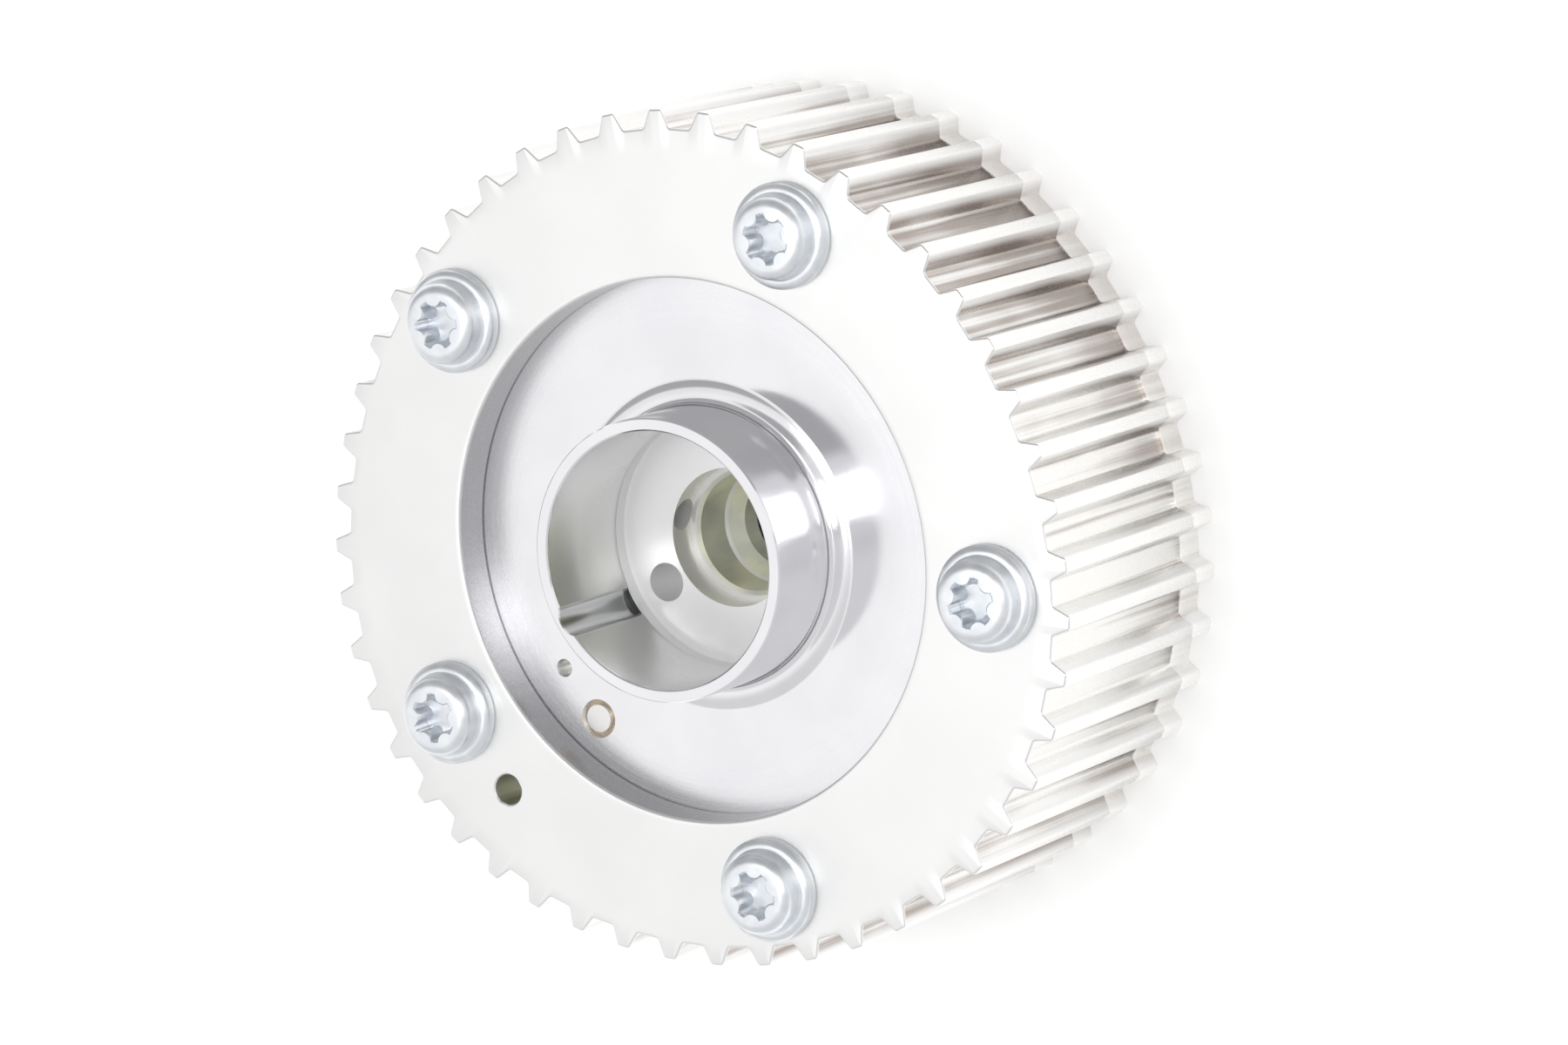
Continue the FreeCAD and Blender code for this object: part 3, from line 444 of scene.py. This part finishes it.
def window(radii, columns, spot_radius, spot_angle, reach):
    """Rows and columns of a window round a spot, as index ranges."""
    inner = int(np.searchsorted(radii, spot_radius - reach)) - 1
    outer = int(np.searchsorted(radii, spot_radius + reach))
    inside = np.abs(columns - spot_angle) < reach / spot_radius
    first = int(np.argmax(inside)) - 1
    return inner, outer, first, first + int(inside.sum()) + 1


vent = window(floor_radii, turn, VENT[0], VENT[1], 1.9)
dowel = window(floor_radii, turn, DOWEL[0], DOWEL[1], 3.2)
disc.grid(floor_rows, windows=[vent, dowel])
for spot, box, depth, chamfer in ((VENT, vent, VENT_DEPTH, VENT_CHAMFER),
                                  (DOWEL, dowel, DOWEL_DEPTH, DOWEL_CHAMFER)):
    out = np.array([math.cos(spot[1]), math.sin(spot[1]), 0])
    border = window_loop(floor_rows, box[:2], box[2:])
    drilled(disc, border, out * spot[0] - np.array([0, 0, WEB]), out, spot[2], depth, chamfer)
widest = COLLAR - BEVEL - WALL_LEFT
bore_wall = keyed(COLLAR_BORE, turn)
land = np.minimum(np.maximum(COLLAR_BORE + BEVEL, bore_wall), widest)
bore_wall = np.minimum(bore_wall, widest)
foot = [(SHOULDER + (SHOULDER_TOP - SHOULDER) * s, -WEB + SHOULDER_RISE * (1 - (1 - s) ** 2))
        for s in np.linspace(0, 1, 8)]
throat = SHOULDER_TOP - COLLAR
foot += [(SHOULDER_TOP - throat * math.sin(a), -WEB + SHOULDER_RISE + throat * (1 - math.cos(a)))
         for a in np.linspace(0, math.pi / 2, 8)[1:]]
collar = [floor_rows[0]] + [hoop(r, turn, z) for r, z in foot]
collar += [hoop(COLLAR, turn, 0.0), hoop(COLLAR, turn, COLLAR_TOP - BEVEL),
          hoop(COLLAR - BEVEL, turn, COLLAR_TOP), hoop(land, turn, COLLAR_TOP),
          hoop(bore_wall, turn, COLLAR_TOP - BEVEL), hoop(bore_wall, turn, 0.0),
          hoop(bore_wall, turn, -WEB - COVER_THICKNESS + 0.5),
          hoop(bore_wall - 0.2, turn, -WEB - COVER_THICKNESS),
          hoop(COVER_RADIUS, turn, -WEB - COVER_THICKNESS), hoop(COVER_RADIUS, turn, -WEB)]
disc.grid(collar)
rear_cover = disc.finish("rear_cover_piece", 28)
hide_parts("rear_cover")
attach(rear_cover, "pulley_body")

turned = Finish("turned_steel", Metallic=1.0)
here, x, y, z, radius, _ = turned.place()
fine = turned.noise(here, 90, 3)
grain = turned.rings(radius * 12.0 + z * 5.0)
bands = turned.rings(radius * 1.3)
ring = within(x, y, DOWEL, DOWEL[2] + 0.75, DOWEL[2] + 0.9) * z.step(-7.5, -6.9)
oily = within(x, y, VENT, VENT[2] + 0.05, VENT[2] + 0.15) * (1 - z.step(-6.9, -6.4))
steel = turned.blend(fine.step(0.3, 0.7), (0.93, 0.928, 0.95, 1), (0.89, 0.885, 0.915, 1))
steel = turned.blend(ring, steel, (0.84, 0.77, 0.67, 1))
under_top = 1 - z.step(COLLAR_TOP - 0.5, COLLAR_TOP - 0.3)
bore = (1 - radius.step(COLLAR_BORE + 0.25, COLLAR_BORE + 0.4)) * under_top
key = radius.step(COLLAR_BORE + 0.02, COLLAR_BORE + 0.2) * (1 - radius.step(19.3, 19.4)) * under_top
outside = radius.step(COLLAR - 0.1, COLLAR - 0.03) * (1 - radius.step(COLLAR + 0.05, COLLAR + 0.3))
outside = outside * z.step(-4.8, -4.5)
steel = turned.blend(bore, steel, (0.84, 0.84, 0.84, 1))
# Painted shade: the keyway's walls are coloured darker grey than the bore.
steel = turned.blend(key, steel, (0.58, 0.59, 0.59, 1))
turned.feed("Base Color", turned.blend(oily, steel, (0.88, 0.89, 0.86, 1)))
feed_marks = 0.12 + radius.step(25, 34) * 0.88
rough = 0.06 + feed_marks * (0.16 + bands * 0.08) + fine * 0.03
turned.feed("Roughness", rough + bore * 0.18 + key * 0.1 + outside * 0.06)
turned.bump(grain * feed_marks * (1 - outside * 0.8), 0.008, 0.8)
paint(rear_cover, turned)

# Cover screws: cold-formed steel with a pressed-on flange, a low domed head and a six-lobe drive,
# zinc plated bluish white. Five of them clamp the housing, the chamber ring and the front cover.
SCREW_PITCH, SCREWS, FLANGE_RADIUS, FLANGE_THICKNESS = 48.5, 5, 7.4, 2.1
DOME_RADIUS, HEAD_HEIGHT, DRIVE_DEPTH, SHANK, SHANK_END = 5.9, 5.1, 3.2, 3.45, -40.5
DRIVE_TIP, DRIVE_ROUND, DRIVE_INNER, DRIVE_TURN = 3.33, 0.66, 2.39, math.radians(23)


def six_lobe(turn):
    """Radius of the drive at each angle: arcs of the tips and of the hollows that touch each other."""
    reach, sixth = DRIVE_TIP - DRIVE_ROUND, math.pi / 6
    top = reach ** 2 + DRIVE_INNER ** 2 - 2 * reach * DRIVE_INNER * math.cos(sixth) - DRIVE_ROUND ** 2
    hollow = top / (2 * (DRIVE_ROUND + reach * math.cos(sixth) - DRIVE_INNER))
    off = (turn + sixth) % (2 * sixth) - sixth
    square = DRIVE_ROUND ** 2 - (reach * np.sin(off)) ** 2
    tip = reach * np.cos(off) + np.sqrt(np.maximum(square, 0))
    other = np.abs(off) - sixth
    well = DRIVE_INNER + hollow
    dip = well * np.cos(other) - np.sqrt(np.maximum(hollow ** 2 - (well * np.sin(other)) ** 2, 0))
    in_tip = (square > 0) & (np.abs(off) * reach < DRIVE_ROUND * 0.93) & (tip > dip)
    return np.where(in_tip, tip, dip)


steps = np.linspace(0, 2 * np.pi, 180, endpoint=False)
drive = six_lobe(steps)
screws = Solid()
for number in range(SCREWS):
    base = 2 * math.pi * number / SCREWS
    spin = steps + DRIVE_TURN * number
    spot = np.array([SCREW_PITCH * math.cos(base), SCREW_PITCH * math.sin(base), 0])
    head = [(FLANGE_RADIUS - 0.25, 0.0), (FLANGE_RADIUS, 0.25), (FLANGE_RADIUS, FLANGE_THICKNESS - 0.75),
            (FLANGE_RADIUS - 0.2, FLANGE_THICKNESS - 0.35), (FLANGE_RADIUS - 0.7, FLANGE_THICKNESS - 0.05),
            (FLANGE_RADIUS - 1.0, FLANGE_THICKNESS), (DOME_RADIUS + 0.25, FLANGE_THICKNESS),
            (DOME_RADIUS, FLANGE_THICKNESS + 0.25), (DOME_RADIUS - 0.1, HEAD_HEIGHT - 1.5)]
    head += [(DOME_RADIUS - 0.1 - 1.6 * (1 - math.cos(a)), HEAD_HEIGHT - 1.5 + 1.5 * math.sin(a))
             for a in np.linspace(0.15, math.pi / 2, 8)]
    loops = [hoop(r, spin, z) for r, z in [(SHANK, 0.0)] + head]
    loops += [hoop(drive + 0.3, spin, HEAD_HEIGHT), hoop(drive, spin, HEAD_HEIGHT - 0.3),
              hoop(drive, spin, HEAD_HEIGHT - DRIVE_DEPTH + 0.3),
              hoop(drive * 0.9, spin, HEAD_HEIGHT - DRIVE_DEPTH)]
    shank = [hoop(SHANK - 0.4, spin, SHANK_END), hoop(SHANK, spin, SHANK_END + 0.4), hoop(SHANK, spin, 0.0)]
    loops = [loop + spot for loop in shank + loops]
    screws.grid(loops)
    screws.close(loops[0])
    screws.close(loops[-1])
cover_screws = screws.finish("cover_screws_piece", 40)
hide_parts("cover_screws")
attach(cover_screws, "pulley_body")
zinc = Finish("white_zinc", Metallic=1.0)
here = zinc.place()[0]
mottle = zinc.noise(here, 420, 4)
zinc.feed("Base Color", zinc.blend(mottle.step(0.35, 0.7), (0.83, 0.86, 0.90, 1), (0.91, 0.93, 0.95, 1)))
zinc.feed("Roughness", 0.28 + mottle * 0.16)
zinc.bump(mottle, 0.02, 0.35)
paint(cover_screws, zinc)


# The inner pieces keep the solids' own surfaces. Each is a copy of its solid with its triangles
# merged, so that round faces shade smoothly, and it gets a plain finish.
def dressed(node, body, finish, sharp=30):
    """A merged, smooth-shaded copy of a solid that stands for it."""
    data = frame["nodes"][node].data.copy()
    work = bmesh.new()
    work.from_mesh(data)
    bmesh.ops.remove_doubles(work, verts=work.verts, dist=1e-6)
    for face in work.faces:
        face.smooth = True
    for edge in work.edges:
        edge.smooth = len(edge.link_faces) == 2 and edge.calc_face_angle(0) < math.radians(sharp)
    work.to_mesh(data)
    work.free()
    data.name = node + "_piece"
    made = bpy.data.objects.new(node + "_piece", data)
    bpy.context.scene.collection.objects.link(made)
    paint(made, finish)
    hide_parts(node)
    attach(made, body)
    return made


def plain(name, colour, rough, metal=1.0):
    """An even finish with a faint mottle in its gloss."""
    made = Finish(name, Metallic=metal)
    here = made.place()[0]
    made.shader.inputs["Base Color"].default_value = (*colour, 1)
    made.feed("Roughness", rough + made.noise(here, 700, 2) * 0.12)
    return made


NOSE, NOSE_FOOT, OIL_BORE, BORE_TOP, SLIT_FLOOR = 18.0, -11.6, 10.0, -12.1, -9.8
alloy = Finish("light_alloy", Metallic=0.5)
here, _, _, z, radius, _ = alloy.place()
# Painted shade: the nose's wall above its foot is coloured grey, darker than the rest of the alloy.
nose_wall_shade = radius.step(NOSE - 0.1, NOSE - 0.03) * (1 - radius.step(NOSE + 0.05, NOSE + 0.2))
nose_wall_shade = nose_wall_shade * z.step(NOSE_FOOT - 0.1, NOSE_FOOT + 0.1)
bore = (1 - radius.step(OIL_BORE - 0.03, OIL_BORE + 0.2)) * (1 - z.step(BORE_TOP - 0.1, BORE_TOP + 0.1))
# Painted shadow: the alloy in a thin ring just outside the nose, seen at the bottom of the collar's keyway,
# is coloured almost black.
slit_shade = radius.step(NOSE + 0.15, NOSE + 0.25) * (1 - radius.step(NOSE + 1.4, NOSE + 1.5))
slit_shade = slit_shade * z.step(SLIT_FLOOR - 0.1, SLIT_FLOOR + 0.1)
tint = alloy.blend(nose_wall_shade, (0.97, 0.97, 0.97, 1), (0.82, 0.82, 0.83, 1))
tint = alloy.blend(bore, tint, (0.96, 0.95, 0.92, 1))
alloy.feed("Base Color", alloy.blend(slit_shade, tint, (0.06, 0.06, 0.06, 1)))
alloy.feed("Roughness", 0.30 + alloy.noise(here, 700, 2) * 0.12)
ground = plain("hardened_steel", (0.60, 0.60, 0.62), 0.25)
bright = plain("dowel_steel", (0.90, 0.89, 0.88), 0.25)
spring = plain("spring_steel", (0.50, 0.50, 0.52), 0.3)
rubber = plain("seal_rubber", (0.03, 0.03, 0.03), 0.6, 0.0)
strip = plain("seal_strip", (0.25, 0.20, 0.14), 0.5, 0.0)
gold = Finish("yellow_zinc", Metallic=0.4)
here, _, _, z, _, _ = gold.place()
tint = gold.noise(here, 190, 3, (1, 1, 0.4))
upper = z.step(-16.95, -16.8) + z.step(-24.1, -23.9) * (1 - z.step(-23.7, -23.5))
tone = gold.blend(tint.step(0.38, 0.62), (0.99, 0.98, 0.80, 1), (0.80, 0.83, 0.74, 1))
gold.feed("Base Color", gold.blend(upper, tone, (0.99, 0.99, 0.97, 1)))
gold.feed("Roughness", 0.16 + tint * 0.15)

CAD_FINISHES = {"light_alloy": alloy, "hardened_steel": ground, "brown_steel": bright,
                "spring_steel": spring, "seal_rubber": rubber, "seal_strip": strip, "yellow_zinc": gold}
slots = {entry["node"]: entry["material_slot"] for entry in frame["record"]["subparts"]}
for body, nodes in frame["record"]["behaviour"]["bodies"].items():
    for node in nodes:
        if slots[node] in CAD_FINISHES:
            made = dressed(node, body, CAD_FINISHES[slots[node]])

# The locking pin's coil spring stands on the end plug and gets shorter as the pin slides back; here it only
# gets its own copy of its mesh.
coil = bpy.data.objects["locking_pin_spring_piece"]
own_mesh(coil)

# The floor, the light and the camera: a white table in a white room, lit from above by large soft
# lamps, and the camera where the photograph was taken from.
FLOOR_REACH, FLOOR_GLOW = 4, 0.28
floor_data = bpy.data.meshes.new("floor")
floor_corners = [(-1, -1, 0), (1, -1, 0), (1, 1, 0), (-1, 1, 0)]
floor_data.from_pydata([Vector(c) * FLOOR_REACH for c in floor_corners], [], [(0, 1, 2, 3)])
floor_data.transform(Matrix.Translation((0, 0, -RIM_LENGTH * MM)))
table = bpy.data.objects.new("floor", floor_data)
bpy.context.scene.collection.objects.link(table)
white = Finish("floor_white", Base_Color=(0.9, 0.9, 0.9, 1), Roughness=0.9, Emission_Color=(1, 1, 1, 1))
CAMERA_RAY, GLOSSY_RAY, TRANSMISSION_RAY = 0, 3, 6
seen, mirrored, through = (white.node("ShaderNodeLightPath", output=ray)
                           for ray in (CAMERA_RAY, GLOSSY_RAY, TRANSMISSION_RAY))
seen = seen.maths("MAXIMUM", mirrored).maths("MAXIMUM", through)
white.feed("Emission Strength", seen * FLOOR_GLOW)
paint(table, white)

world = bpy.data.worlds.new("room")
bpy.context.scene.world = world
world.use_nodes = True
room = Nodes(world.node_tree)
back = world.node_tree.nodes["Background"]
back.inputs["Color"].default_value = (1, 1, 1, 1)
CAMERA_AZIMUTH, CAMERA_ELEVATION = math.radians(165.815), math.radians(55.616)
CAMERA_DISTANCE, CAMERA_ROLL, LENS = 0.82411, math.radians(-107.370), 135.894
AIM = (-0.016453, 0.004327, 0.0)
toward = Vector((math.cos(CAMERA_ELEVATION) * math.cos(CAMERA_AZIMUTH),
                 math.cos(CAMERA_ELEVATION) * math.sin(CAMERA_AZIMUTH), math.sin(CAMERA_ELEVATION)))
sideways = Vector((-math.sin(CAMERA_AZIMUTH), math.cos(CAMERA_AZIMUTH), 0))
sky = room.node("ShaderNodeTexCoord", output=0)
side, ahead = (room.node("ShaderNodeVectorMath", {"operation": "DOT_PRODUCT"}, [sky, tuple(way)], output=1)
               for way in (sideways, toward))
# What metal mirrors: a white room, greyer to the sides, and behind the camera a darker gap.
walls = side.step(0.02, 0.30) * 0.12 + side.step(0.33, 0.38) * 0.43 + (0 - side).step(0.06, 0.35) * 0.26
gap = (1 - (side + 0.13).maths("ABSOLUTE").step(0.01, 0.09)) * ahead.step(0.85, 0.95)
behind = ahead.step(0.88, 0.97) * 0.10 + gap * 0.32
mirrored = (0.96 - walls - behind).maths("MAXIMUM", 0.25)
seen, glossy, through = (room.node("ShaderNodeLightPath", output=ray)
                         for ray in (CAMERA_RAY, GLOSSY_RAY, TRANSMISSION_RAY))
glossy = glossy.maths("MAXIMUM", through)
DIFFUSE_LEVEL = 0.76
level = glossy * mirrored + (1 - glossy) * DIFFUSE_LEVEL
level = seen + (1 - seen) * level
room.tree.links.new(level.socket, back.inputs["Strength"])


def lamp(name, place, aim, size, power):
    """A soft lamp, its size in width and height, turned towards a point."""
    data = bpy.data.lights.new(name, "AREA")
    data.shape = "RECTANGLE"
    data.size, data.size_y = size
    data.energy = power
    made = bpy.data.objects.new(name, data)
    made.location = place
    made.rotation_euler = (Vector(aim) - Vector(place)).to_track_quat("-Z", "Y").to_euler()
    bpy.context.scene.collection.objects.link(made)


lamp("key", (0.08, -0.12, 1.2), (0, 0, 0), (0.35, 0.35), 2.4)
lamp("fill", (-0.65, 0.13, 1.05), (0, 0, 0), (0.38, 0.6), 1.4)

eye = toward * CAMERA_DISTANCE
camera_data = bpy.data.cameras.new("camera")
camera_data.lens = LENS
camera_data.sensor_width = 36.0
camera_data.clip_start = 10 * MM
camera = bpy.data.objects.new("camera", camera_data)
look = (Vector(AIM) - eye).to_track_quat("-Z", "Y").to_matrix() @ Matrix.Rotation(CAMERA_ROLL, 3, "Z")
camera.matrix_world = Matrix.Translation(eye) @ look.to_4x4()
bpy.context.scene.collection.objects.link(camera)
bpy.context.scene.camera = camera
bpy.context.scene.view_settings.view_transform = "Standard"
